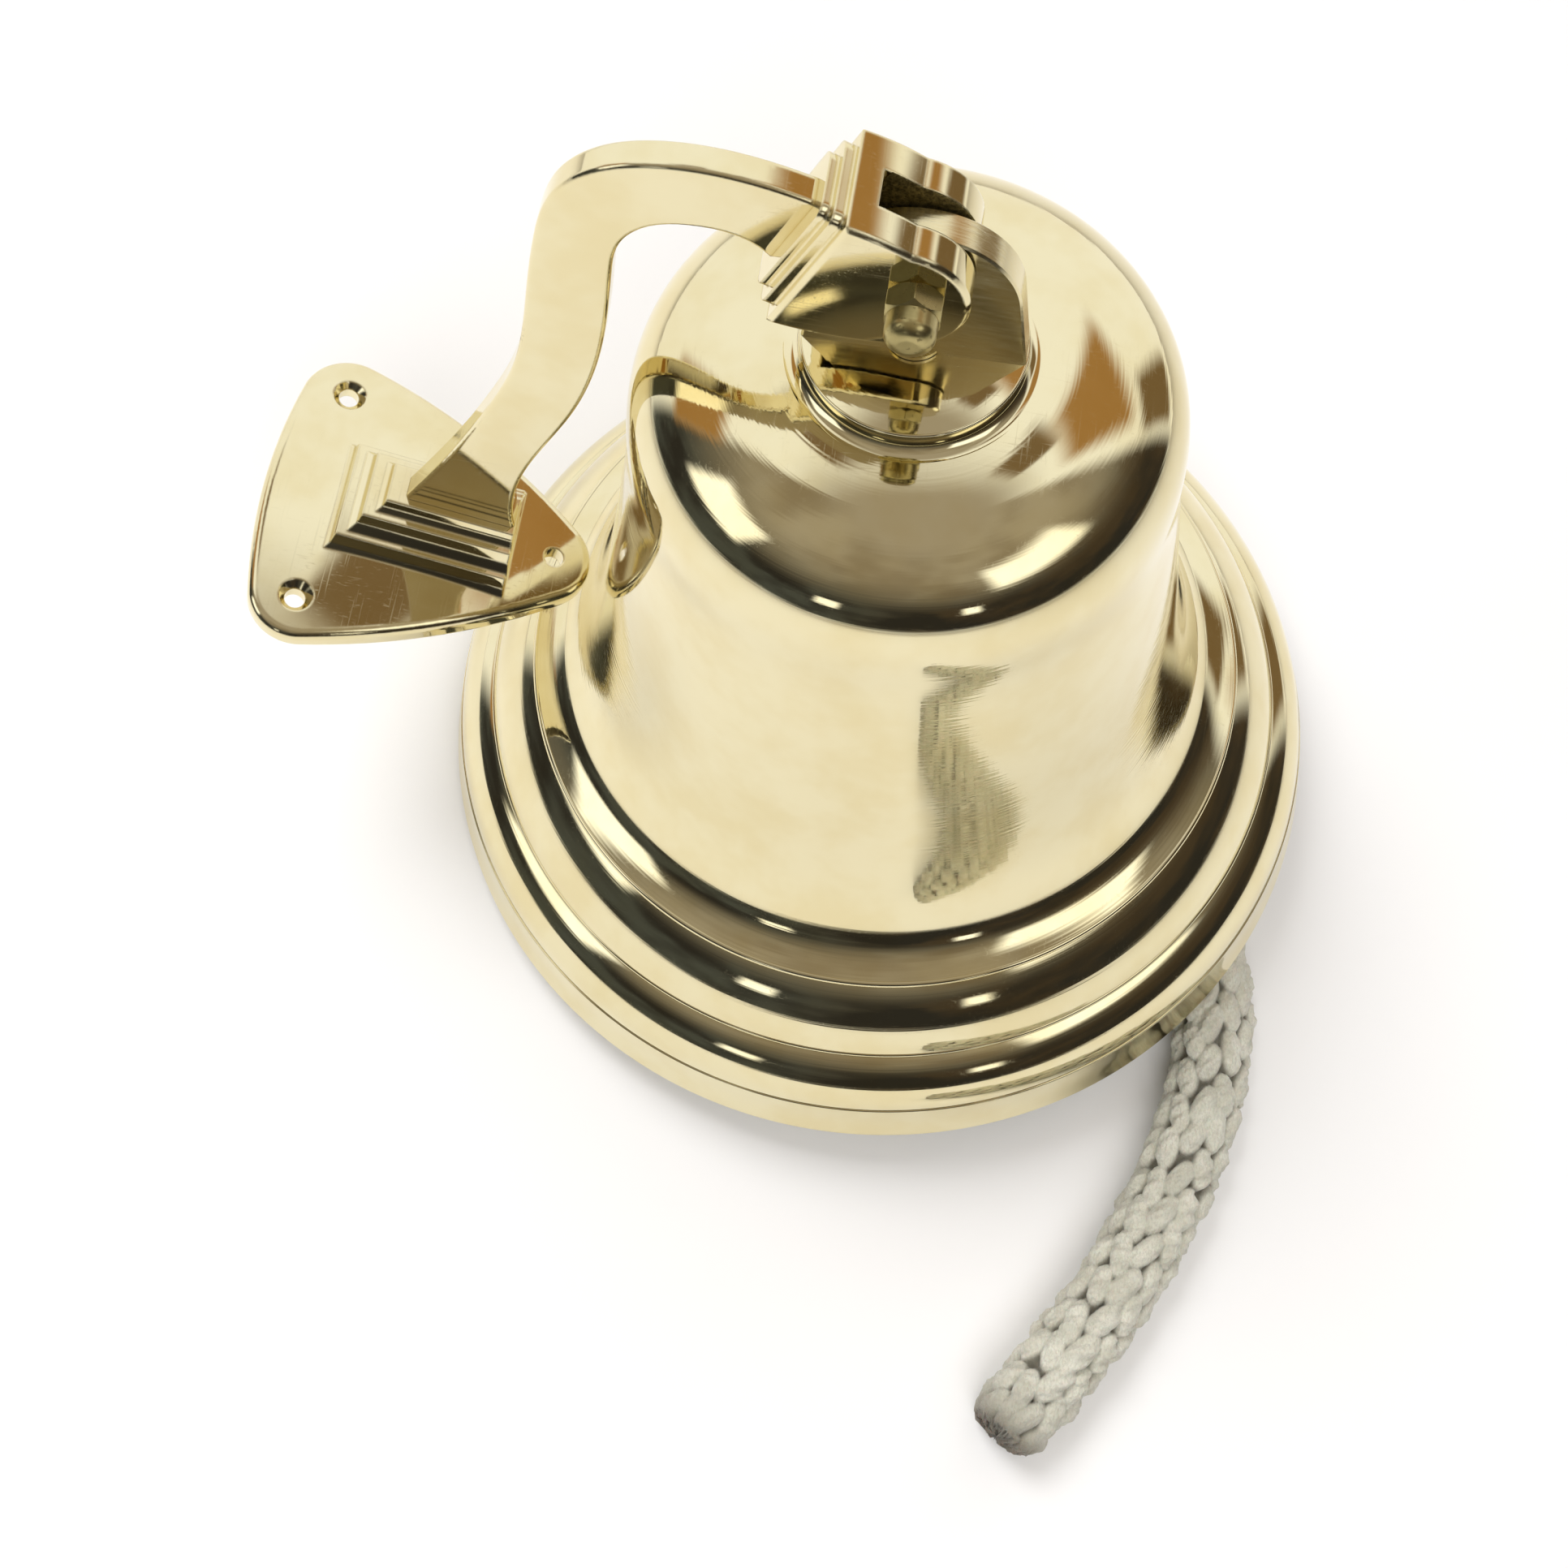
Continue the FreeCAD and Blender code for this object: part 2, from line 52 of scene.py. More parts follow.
# The bell's own frame, which is tipped a little from the floor's
BELL_X = Vector((0.99738, 0.00139, 0.07235))
BELL_Y = Vector((0.00139, 0.99926, -0.03847))
BELL_Z = Vector((-0.07235, 0.03847, 0.99664))
BOLT = Vector((0.006043, 0.007368, 0.194932))
BOLT_HEIGHT = 0.1875
BELL_ORIGIN = BOLT - BELL_Z * BOLT_HEIGHT

# Rope: the corners of its run, as the part has them
ROPE_CORNERS = [
    (0.02983, 0.00069, 0.02240),
    (0.05325, 0.00037, 0.01486),
    (0.07800, -0.00900, 0.00750),
    (0.09800, -0.02800, 0.00750),
    (0.10800, -0.05750, 0.00750),
    (0.10450, -0.08800, 0.00750),
    (0.09300, -0.11800, 0.00750),
    (0.08150, -0.13800, 0.00750),
    (0.06880, -0.15650, 0.00750),
]


# ------------------------------------------------------------- node helpers

def new_tree(material):
    material.use_nodes = True
    material.node_tree.nodes.clear()
    return material.node_tree


def add(tree, kind, inputs=None, **settings):
    """A node with its settings made and its inputs set or linked."""
    made = tree.nodes.new(kind)
    for name, value in settings.items():
        setattr(made, name, value)
    for key, value in (inputs or {}).items():
        if isinstance(value, bpy.types.NodeSocket):
            tree.links.new(value, made.inputs[key])
        else:
            made.inputs[key].default_value = value
    return made


def calc(tree, operation, a, b=0.0, c=0.0, clamp=False):
    node = add(tree, "ShaderNodeMath", {0: a, 1: b, 2: c}, operation=operation)
    node.use_clamp = clamp
    return node.outputs[0]


def smooth(tree, value, low, high, at_low=0.0, at_high=1.0):
    """Eases from at_low to at_high as value goes from low to high."""
    inputs = {"Value": value, "From Min": low, "From Max": high, "To Min": at_low, "To Max": at_high}
    return add(tree, "ShaderNodeMapRange", inputs, interpolation_type="SMOOTHSTEP").outputs["Result"]


def blend_colour(tree, factor, first, second):
    node = add(tree, "ShaderNodeMix", data_type="RGBA")
    for socket, value in ((0, factor), (6, first), (7, second)):
        if isinstance(value, bpy.types.NodeSocket):
            tree.links.new(value, node.inputs[socket])
        else:
            node.inputs[socket].default_value = value
    return node.outputs[2]


def dot(tree, vector, direction):
    node = add(tree, "ShaderNodeVectorMath", {0: vector, 1: direction}, operation="DOT_PRODUCT")
    return node.outputs["Value"]


def noise(tree, vector, scale, detail=2.0, roughness=0.5):
    inputs = {"Vector": vector, "Scale": scale, "Detail": detail, "Roughness": roughness}
    return add(tree, "ShaderNodeTexNoise", inputs).outputs[0]


def stretched(tree, vector, scale, turn=(0.0, 0.0, 0.0)):
    """Coordinates stretched to draw noise out into fine lines."""
    inputs = {"Vector": vector, "Rotation": turn, "Scale": scale}
    return add(tree, "ShaderNodeMapping", inputs).outputs[0]


def line_noise(tree, position, scale, detail=2.0):
    """Noise that changes only with one number, as turning marks do."""
    inputs = {"W": position, "Scale": scale, "Detail": detail}
    return add(tree, "ShaderNodeTexNoise", inputs, noise_dimensions="1D").outputs[0]


def object_place(tree):
    return add(tree, "ShaderNodeTexCoord").outputs["Object"]


def bell_place(tree, place):
    """Across, to the side and along the bell's axis from its mouth."""
    local = add(tree, "ShaderNodeVectorMath", {0: place, 1: BELL_ORIGIN}, operation="SUBTRACT").outputs[0]
    return [dot(tree, local, axis) for axis in (BELL_X, BELL_Y, BELL_Z)]


def finish_metal(tree, colour, roughness, height, edge=0.0):
    """Metal with its fine relief; edge is how far cast edges are rounded."""
    relief = {"Height": height, "Strength": 1.0, "Distance": 1.0}
    if edge:
        relief["Normal"] = add(tree, "ShaderNodeBevel", {"Radius": edge}, samples=6).outputs[0]
    bump = add(tree, "ShaderNodeBump", relief)
    inputs = {"Base Color": colour, "Roughness": roughness, "Metallic": 1.0, "Normal": bump.outputs[0]}
    shader = add(tree, "ShaderNodeBsdfPrincipled", inputs)
    add(tree, "ShaderNodeOutputMaterial", {"Surface": shader.outputs[0]})
    return shader


# ---------------------------------------------------------------- materials

PALE_BRASS = (0.80, 0.725, 0.475, 1)
WARM_BRASS = (0.76, 0.665, 0.395, 1)
DULL_BRASS = (0.50, 0.42, 0.19, 1)
DARK_BRASS = (0.36, 0.30, 0.13, 1)
CAST_BRASS = (0.16, 0.13, 0.055, 1)
CLEAN_COTTON = (0.86, 0.85, 0.74, 1)
GREY_COTTON = (0.68, 0.67, 0.56, 1)
FIBRE_SHADE = (0.50, 0.48, 0.39, 1)
# Painted shade laid into the braid's creases
CREASE_PAINTED_SHADE = (0.21, 0.195, 0.15, 1)
CUT_END_DIRT = (0.17, 0.15, 0.11, 1)


def scratches(tree, place):
    """Fine crossing lines left by the polishing mop, from 0 to 1."""
    families = []
    for turn, scale in (((0.3, 0.2, 0.5), (60, 2600, 2600)), ((1.1, 0.4, 2.0), (2400, 70, 2400))):
        lines = noise(tree, stretched(tree, place, scale, turn), 1.0, 1.0)
        families.append(smooth(tree, lines, 0.60, 0.74))
    return calc(tree, "MAXIMUM", families[0], families[1])


def polished(name, waviness, lathe_marks=False, edge=0.0):
    """Mirror brass: buffed waves, faint haze and, on the bell, turning marks."""
    material = bpy.data.materials.new(name)
    tree = new_tree(material)
    place = object_place(tree)
    waves = noise(tree, place, 38.0, 1.0)
    height = calc(tree, "MULTIPLY", waves, waviness)
    haze = noise(tree, place, 55.0, 3.0, 0.6)
    lines = scratches(tree, place)
    height = calc(tree, "MULTIPLY_ADD", lines, -2.0e-7, height)
    if lathe_marks:
        across, side, along = bell_place(tree, place)
        squares = [calc(tree, "MULTIPLY", part, part) for part in (across, side)]
        radius = calc(tree, "SQRT", calc(tree, "ADD", squares[0], squares[1]))
        run = calc(tree, "SUBTRACT", along, radius)
        coarse = line_noise(tree, run, 1100.0, 1.0)
        fine = line_noise(tree, run, 2600.0, 2.0)
        patches = smooth(tree, noise(tree, place, 24.0, 1.0), 0.38, 0.66, 0.25, 1.0)
        height = calc(tree, "MULTIPLY_ADD", calc(tree, "MULTIPLY", coarse, patches), 1.1e-5, height)
        height = calc(tree, "MULTIPLY_ADD", fine, 4.0e-7, height)
    tint = smooth(tree, haze, 0.35, 0.70)
    colour = blend_colour(tree, tint, PALE_BRASS, WARM_BRASS)
    roughness = calc(tree, "MULTIPLY_ADD", haze, 0.06, 0.022)
    roughness = calc(tree, "MULTIPLY_ADD", lines, 0.07, roughness)
    finish_metal(tree, colour, roughness, height, edge)
    return material


def brushed(name):
    """Brass left from the linisher: one way's grain and a satin shine."""
    material = bpy.data.materials.new(name)
    tree = new_tree(material)
    place = object_place(tree)
    grain = noise(tree, stretched(tree, place, (160, 3000, 900), (0.0, 0.6, 0.0)), 1.0, 3.0, 0.6)
    cloud = noise(tree, place, 90.0, 3.0)
    colour = blend_colour(tree, smooth(tree, grain, 0.3, 0.75), WARM_BRASS, PALE_BRASS)
    roughness = calc(tree, "MULTIPLY_ADD", grain, 0.22, calc(tree, "MULTIPLY_ADD", cloud, 0.10, 0.06))
    finish_metal(tree, colour, roughness, calc(tree, "MULTIPLY", grain, 1.6e-5))
    return material


def plain(name):
    """Machined brass that has dulled: specks of tarnish and soft wear."""
    material = bpy.data.materials.new(name)
    tree = new_tree(material)
    place = object_place(tree)
    cloud = noise(tree, place, 130.0, 4.0, 0.6)
    specks = smooth(tree, noise(tree, place, 900.0, 2.0), 0.62, 0.72)
    tool = noise(tree, stretched(tree, place, (700, 90, 700)), 1.0, 2.0)
    colour = blend_colour(tree, smooth(tree, cloud, 0.35, 0.72), DULL_BRASS, DARK_BRASS)
    colour = blend_colour(tree, calc(tree, "MULTIPLY", specks, 0.5), colour, CAST_BRASS)
    roughness = calc(tree, "MULTIPLY_ADD", cloud, 0.22, 0.18)
    roughness = calc(tree, "MULTIPLY_ADD", specks, 0.2, roughness)
    finish_metal(tree, colour, roughness, calc(tree, "MULTIPLY", tool, 1.2e-5))
    return material


# The fork's slot: half its width, then a point of its floor across the bell and
# above the mouth, how fast the floor leans and how far past it still counts
SLOT_HALF_WIDTH = 0.0036
SLOT_FLOOR_ACROSS = -0.0066
SLOT_FLOOR_TOP = 0.1990
SLOT_FLOOR_LEAN = 0.5643
SLOT_SLACK = 0.0004


def fork_brass(name):
    """Polished outside; the slot that the tongue goes in is left as cast."""
    material = polished(name, 3.0e-5, edge=0.0007)
    tree = material.node_tree
    shader = next(n for n in tree.nodes if n.type == "BSDF_PRINCIPLED")
    place = object_place(tree)
    across, side, along = bell_place(tree, place)
    in_slot = calc(tree, "LESS_THAN", calc(tree, "ABSOLUTE", side), SLOT_HALF_WIDTH)
    # The slot's floor slopes, from the top of the head down to its heel
    depth = calc(tree, "MULTIPLY_ADD", calc(tree, "SUBTRACT", along, SLOT_FLOOR_TOP), -SLOT_FLOOR_LEAN,
                 calc(tree, "SUBTRACT", across, SLOT_FLOOR_ACROSS))
    in_slot = calc(tree, "MULTIPLY", in_slot, calc(tree, "GREATER_THAN", depth, -SLOT_SLACK))
    grit = noise(tree, place, 1400.0, 4.0, 0.7)
    cast = blend_colour(tree, smooth(tree, grit, 0.35, 0.70), CAST_BRASS, DULL_BRASS)
    colour = shader.inputs["Base Color"].links[0].from_socket
    tree.links.new(blend_colour(tree, in_slot, colour, cast), shader.inputs["Base Color"])
    roughness = shader.inputs["Roughness"].links[0].from_socket
    tree.links.new(calc(tree, "MULTIPLY_ADD", in_slot, 0.5, roughness), shader.inputs["Roughness"])
    bump = next(n for n in tree.nodes if n.type == "BUMP")
    height = bump.inputs["Height"].links[0].from_socket
    rough_height = calc(tree, "MULTIPLY", calc(tree, "MULTIPLY", grit, in_slot), 2.0e-4)
    tree.links.new(calc(tree, "ADD", height, rough_height), bump.inputs["Height"])
    return material


def cotton(name):
    """Undyed cotton yarn: fibres, a grey-green cast and painted shade in the creases."""
    material = bpy.data.materials.new(name)
    tree = new_tree(material)
    place = object_place(tree)
    crown = add(tree, "ShaderNodeAttribute", attribute_name="crown").outputs["Fac"]
    cut = add(tree, "ShaderNodeAttribute", attribute_name="cut").outputs["Fac"]
    fibre = noise(tree, stretched(tree, place, (2200, 1100, 2200), (0.0, 0.0, 0.4)), 1.0, 4.0, 0.65)
    cloud = noise(tree, place, 160.0, 3.0, 0.6)
    fluff = noise(tree, place, 5200.0, 2.0, 0.6)
    light = blend_colour(tree, smooth(tree, cloud, 0.3, 0.7), CLEAN_COTTON, GREY_COTTON)
    light = blend_colour(tree, smooth(tree, fibre, 0.40, 0.66, 0.0, 0.45), light, FIBRE_SHADE)
    # Painted shade: darker where the braid's grains part, in the creases
    colour = blend_colour(tree, smooth(tree, crown, 0.15, 0.70), CREASE_PAINTED_SHADE, light)
    colour = blend_colour(tree, calc(tree, "MULTIPLY", cut, 0.85), colour, CUT_END_DIRT)
    height = calc(tree, "MULTIPLY_ADD", fluff, 1.5e-4, calc(tree, "MULTIPLY", fibre, 4.5e-4))
    bump = add(tree, "ShaderNodeBump", {"Height": height, "Strength": 1.0, "Distance": 1.0})
    inputs = {
        "Base Color": colour,
        "Roughness": smooth(tree, fibre, 0.2, 0.8, 0.82, 0.98),
        "Sheen Weight": 0.35,
        "Sheen Roughness": 0.5,
        "Subsurface Weight": 0.12,
        "Subsurface Scale": 0.002,
        "Normal": bump.outputs[0],
    }
    shader = add(tree, "ShaderNodeBsdfPrincipled", inputs)
    add(tree, "ShaderNodeOutputMaterial", {"Surface": shader.outputs[0]})
    return material


FINISHES = {
    "bell_body": polished("turned_brass", 8.0e-6, lathe_marks=True),
    "wall_plate": polished("buffed_plate_brass", 4.5e-5, edge=0.0007),
    "bracket_arm": polished("buffed_arm_brass", 3.0e-5, edge=0.0006),
    "fork_head": fork_brass("fork_brass"),
    "crown_lug": brushed("brushed_brass"),
}
machined = plain("machined_brass")
for name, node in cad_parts.items():
    if name != "rope_lanyard":
        node.data.materials.clear()
        node.data.materials.append(FINISHES.get(name, machined))


# ------------------------------------------------------------------ the bell

# Half of the bell's section, in millimetres as radius and height, from the
# stud hole over the outside to the rim and back up the inside. Each run is
# smooth within itself and may meet the next one at an edge.
BELL_SECTION = [
    ("line", [(5.1, 149.0), (5.1, 162.4)]),
    ("dome", [(5.1, 162.4), (19.4, 162.4)]),
    ("arc", [(19.4, 162.4), (19.72, 162.27), (19.85, 161.9)]),
    ("line", [(19.85, 161.9), (20.1, 159.4)]),
    ("arc", [(20.1, 159.4), (20.9, 158.8), (22.6, 158.4)]),
    ("curve", [(22.6, 158.4), (30.0, 157.3), (36.9, 155.2), (42.7, 152.4), (46.9, 148.9), (49.6, 144.4),
               (50.9, 138.8), (51.5, 129.5), (52.9, 117.0), (56.9, 90.0), (62.2, 63.0), (66.4, 50.8),
               (70.6, 44.6), (77.1, 41.2)]),
    ("arc", [(77.1, 41.2), (77.9, 40.9), (77.7, 39.6)]),
    ("arc", [(77.7, 39.6), (84.3, 33.8), (88.5, 26.2)]),
    ("arc", [(88.5, 26.2), (89.0, 25.6), (88.7, 25.0)]),
    ("arc", [(88.7, 25.0), (94.7, 20.3), (97.5, 13.2)]),
    ("arc", [(97.5, 13.2), (97.0, 12.7), (97.7, 12.4)]),
    ("curve", [(97.7, 12.4), (98.6, 7.0), (100.0, 1.6)]),
    ("arc", [(100.0, 1.6), (99.53, 0.47), (98.4, 0.0)]),
    ("line", [(98.4, 0.0), (93.2, 0.0)]),
    ("arc", [(93.2, 0.0), (92.07, 0.47), (91.6, 1.6)]),
    ("curve", [(91.6, 1.6), (83.0, 17.0), (72.0, 32.0), (63.0, 48.0), (58.2, 62.0), (52.8, 90.0),
               (48.4, 118.0), (45.4, 136.0)]),
    ("curve", [(45.4, 136.0), (41.0, 144.0), (34.0, 147.8), (26.0, 149.0)]),
    ("line", [(26.0, 149.0), (5.1, 149.0)]),
]
SECTION_STEP = 1.1
# How far the buffing wheel has leant the boss's face outward at its edge
BOSS_BUFFED = math.radians(15)
BELL_AROUND = 360


def curve_through(points, count):
    """A natural cubic spline through points, as count even samples."""
    points = np.array(points)
    at = np.concatenate([[0], np.cumsum(np.linalg.norm(np.diff(points, axis=0), axis=1))])
    gap = np.diff(at)
    matrix = np.eye(len(points))
    right = np.zeros_like(points)
    for k in range(1, len(points) - 1):
        matrix[k, k - 1:k + 2] = gap[k - 1], 2 * (gap[k - 1] + gap[k]), gap[k]
        right[k] = 6 * ((points[k + 1] - points[k]) / gap[k] - (points[k] - points[k - 1]) / gap[k - 1])
    bend = np.linalg.solve(matrix, right)
    where = np.linspace(0, at[-1], count)
    k = np.clip(np.searchsorted(at, where, side="right") - 1, 0, len(gap) - 1)
    low = (at[k + 1] - where)[:, None]
    high = (where - at[k])[:, None]
    wide = gap[k][:, None]
    straight = points[k] * low / wide + points[k + 1] * high / wide
    return (straight + bend[k] * (low ** 3 / wide - low * wide) / 6
            + bend[k + 1] * (high ** 3 / wide - high * wide) / 6)


def arc_through(points, count):
    """The circle's arc from the first point by the second to the third."""
    a, b, c = (complex(*point) for point in points)
    w = (c - a) / (b - a)
    centre = (b - a) * (w - abs(w) ** 2) / (2j * w.imag) + a
    start = np.angle(a - centre)
    turn = np.angle((c - centre) / (a - centre))
    angles = start + np.linspace(0, turn, count)
    return np.stack([centre.real + abs(a - centre) * np.cos(angles),
                     centre.imag + abs(a - centre) * np.sin(angles)], axis=1)


def section_run(form, points):
    """Samples of one run and the outward normal at each."""
    length = np.linalg.norm(np.diff(np.array(points), axis=0), axis=1).sum()
    if form in ("line", "dome"):
        samples = np.linspace(points[0], points[1], max(3, int(length / 6) + 2))
    elif form == "arc":
        samples = arc_through(points, max(6, int(length / SECTION_STEP) + 1))
    else:
        samples = curve_through(points, max(8, int(length / SECTION_STEP) + 1))
    if form == "dome":
        lean = np.linspace(0, BOSS_BUFFED, len(samples))
        return samples, np.stack([np.sin(lean), np.cos(lean)], axis=1)
    along = np.gradient(samples, axis=0, edge_order=2)
    along /= np.linalg.norm(along, axis=1)[:, None]
    return samples, np.stack([-along[:, 1], along[:, 0]], axis=1)


def turned(section, angle):
    """A point or normal of the section swung round the bell's axis."""
    radius, height = section
    return BELL_X * (radius * math.cos(angle)) + BELL_Y * (radius * math.sin(angle)) + BELL_Z * height


def build_bell():
    vertices = []
    faces = []
    normals = []
    angles = [2 * math.pi * k / BELL_AROUND for k in range(BELL_AROUND)]
    runs = [section_run(form, points) for form, points in BELL_SECTION]
    rings = sum(len(samples) - 1 for samples, _ in runs)
    ring = 0
    for samples, facing in runs:
        facing_round = [[turned(n, angle) for angle in angles] for n in facing]
        for k in range(len(samples) - 1):
            vertices.extend(BELL_ORIGIN + turned(samples[k] * 0.001, angle) for angle in angles)
            here = ring * BELL_AROUND
            there = (ring + 1) % rings * BELL_AROUND
            for j in range(BELL_AROUND):
                on = (j + 1) % BELL_AROUND
                faces.append((here + j, there + j, there + on, here + on))
                normals.extend((facing_round[k][j], facing_round[k + 1][j], facing_round[k + 1][on],
                                facing_round[k][on]))
            ring += 1
    mesh = bpy.data.meshes.new("bell_shell")
    mesh.from_pydata(vertices, [], faces)
    mesh.polygons.foreach_set("use_smooth", [True] * len(faces))
    mesh.normals_split_custom_set(normals)
    mesh.materials.append(FINISHES["bell_body"])
    bell = bpy.data.objects.new("bell_shell", mesh)
    bpy.context.scene.collection.objects.link(bell)
    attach(bell, "bell")
    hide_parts("bell_body")


build_bell()


# ------------------------------------------------------------------ the rope

YARN_COLUMNS = 10
YARN_PITCH = 0.0090
# Radians that the columns turn in a metre, and how even and odd columns' yarns slant
YARN_TWIST = 5.0
YARN_SLANTS = (-0.30, 0.42)
CORE_R = 0.0062
GRAIN_HIGH = 0.0031
GRAIN_HALF_LENGTH = 0.0058
GRAIN_HALF_WIDTH = 0.0034
FUZZ = 0.00032
FUZZ_WAVES = 14
FUZZ_SPREAD = 3.7
FIBRE_WIDTH = 0.0011
RING_STEP = 0.0005
AROUND = 160
RIM_RADIUS = 0.096
FERRULE_DEPTH = 0.0150
FERRULE_TAPER = 0.004
FERRULE_FIT_R = 0.0074
FLOOR_GAP = 0.0004
LAID_BELOW = 0.0012
# Under the rim: how much flatter and wider it is pressed, and over what reach
PRESSED_FLATTER = 0.16
PRESSED_WIDER = 0.06
PRESS_REACH = 0.010
# At the cut end: how far it draws in and gets dirty, and the shape of its face
CUT_DRAWN_IN = 0.16
CUT_REACH = 0.0022
DIRT_REACH = 0.0045
END_RINGS = (0.82, 0.58, 0.32)
END_BULGE = 0.0014
END_MIDDLE = 0.0013
END_RAGGED = 0.0009
# The crown value given to the end faces and their middle points, which sets how much painted crease shade
# they get
END_CROWN = 0.45
MIDDLE_CROWN = 0.4


def rope_line():
    """Points close together along the rope's smooth centreline."""
    data = bpy.data.curves.new("rope_line", "CURVE")
    data.dimensions = "3D"
    data.resolution_u = 24
    spline = data.splines.new("NURBS")
    spline.points.add(len(ROPE_CORNERS) - 1)
    for point, corner in zip(spline.points, ROPE_CORNERS):
        point.co = (*corner, 1.0)
    spline.order_u = 3
    spline.use_endpoint_u = True
    holder = bpy.data.objects.new("rope_line", data)
    bpy.context.scene.collection.objects.link(holder)
    bpy.context.view_layer.update()
    mesh = bpy.data.meshes.new_from_object(holder)
    points = np.array([vertex.co for vertex in mesh.vertices])
    bpy.data.meshes.remove(mesh)
    bpy.data.objects.remove(holder)
    return points


def even_points(points, step):
    """The same line with its points an even distance apart."""
    run = np.concatenate([[0], np.cumsum(np.linalg.norm(np.diff(points, axis=0), axis=1))])
    at = np.linspace(0, run[-1], int(run[-1] / step) + 1)
    return np.stack([np.interp(at, run, points[:, k]) for k in range(3)], axis=1), at


def grain_table(columns, rows):
    """Small differences from grain to grain, each from -1 to 1."""
    draw = random.Random(11)
    return [[[draw.uniform(-1, 1) for _ in range(6)] for _ in range(rows)] for _ in range(columns)]


def braid_height(angles, run):
    """Height of the braid above its core, from 0 in the creases to 1."""
    rows = int(run[-1] / YARN_PITCH) + 4
    table = grain_table(YARN_COLUMNS, rows)
    height = np.zeros((len(run), len(angles)))
    for column in range(YARN_COLUMNS):
        phase = 0.5 * (column % 2) + 0.06 * column
        for row in range(rows):
            turn, long, wide, high, slide, drift = table[column][row]
            middle = (row - 1 + phase + 0.10 * slide) * YARN_PITCH
            near = np.abs(run - middle) < 1.5 * GRAIN_HALF_LENGTH
            if not near.any():
                continue
            twist = run[near][:, None] * YARN_TWIST
            offset = angles[None, :] - column * 2 * math.pi / YARN_COLUMNS - twist - 0.06 * drift
            offset = (offset + math.pi) % (2 * math.pi) - math.pi
            across = offset * (CORE_R + GRAIN_HIGH)
            along = run[near][:, None] - middle
            slant = YARN_SLANTS[column % 2] + 0.14 * turn
            a = across * math.cos(slant) + along * math.sin(slant)
            b = along * math.cos(slant) - across * math.sin(slant)
            inside = 1 - (a / (GRAIN_HALF_WIDTH * (1 + 0.10 * wide))) ** 2
            inside = inside - (np.abs(b) / (GRAIN_HALF_LENGTH * (1 + 0.12 * long))) ** 2.4
            fibres = 1 + 0.035 * np.cos(2 * math.pi * (a / FIBRE_WIDTH + 0.2 * turn + b / 0.02))
            grain = np.sqrt(np.clip(inside, 0, 1)) * (1 + 0.12 * high) * fibres
            height[near] = np.maximum(height[near], grain)
    return height


def fuzz(angles, run):
    """Uneven swelling of the yarn, as a few waves that don't repeat."""
    draw = random.Random(3)
    total = np.zeros((len(run), len(angles)))
    for _ in range(FUZZ_WAVES):
        turns = draw.randint(3, 22)
        wave = draw.uniform(0.0016, 0.0070)
        shift = draw.uniform(0, 2 * math.pi)
        total += np.sin(turns * angles[None, :] + 2 * math.pi * run[:, None] / wave + shift)
    return total / FUZZ_SPREAD


def rope_frames(line):
    """Tangent and two crossways vectors at each point, without twist."""
    tangents = np.gradient(line, axis=0)
    tangents /= np.linalg.norm(tangents, axis=1)[:, None]
    side = np.cross(tangents[0], (0, 0, 1))
    side /= np.linalg.norm(side)
    sides = [side]
    for tangent in tangents[1:]:
        side = side - tangent * side.dot(tangent)
        side = side / np.linalg.norm(side)
        sides.append(side)
    sides = np.array(sides)
    return tangents, sides, np.cross(sides, tangents)


def rope_mesh(line, run):
    tangents, sides, ups = rope_frames(line)
    angles = np.linspace(0, 2 * math.pi, AROUND, endpoint=False)
    crown = braid_height(angles, run)
    radius = CORE_R + GRAIN_HIGH * crown + FUZZ * fuzz(angles, run)
    # The cut end draws in a little and the other end goes into the ferrule
    left = run[-1] - run
    radius *= (1 - CUT_DRAWN_IN * np.exp(-left / CUT_REACH))[:, None]
    braided = np.clip((run - FERRULE_DEPTH) / FERRULE_TAPER, 0, 1)[:, None]
    radius = radius * braided + FERRULE_FIT_R * (1 - braided)
    # Pressed flatter where the rim stands on it
    mouth_gap = np.abs(np.hypot(line[:, 0] - BELL_ORIGIN.x, line[:, 1] - BELL_ORIGIN.y) - RIM_RADIUS)
    press = np.exp(-(mouth_gap / PRESS_REACH) ** 2)[:, None]
    flat = radius * np.sin(angles)[None, :] * (1 - PRESSED_FLATTER * press)
    wide = radius * np.cos(angles)[None, :] * (1 + PRESSED_WIDER * press)
    points = line[:, None, :] + wide[..., None] * sides[:, None, :] + flat[..., None] * ups[:, None, :]
    # The underside lies flat on the floor
    height = points[..., 2]
    laid = FLOOR_GAP + (LAID_BELOW - FLOOR_GAP) * np.exp(height / LAID_BELOW - 1)
    points[..., 2] = np.where(height < LAID_BELOW, laid, height)
    return points, crown, tangents


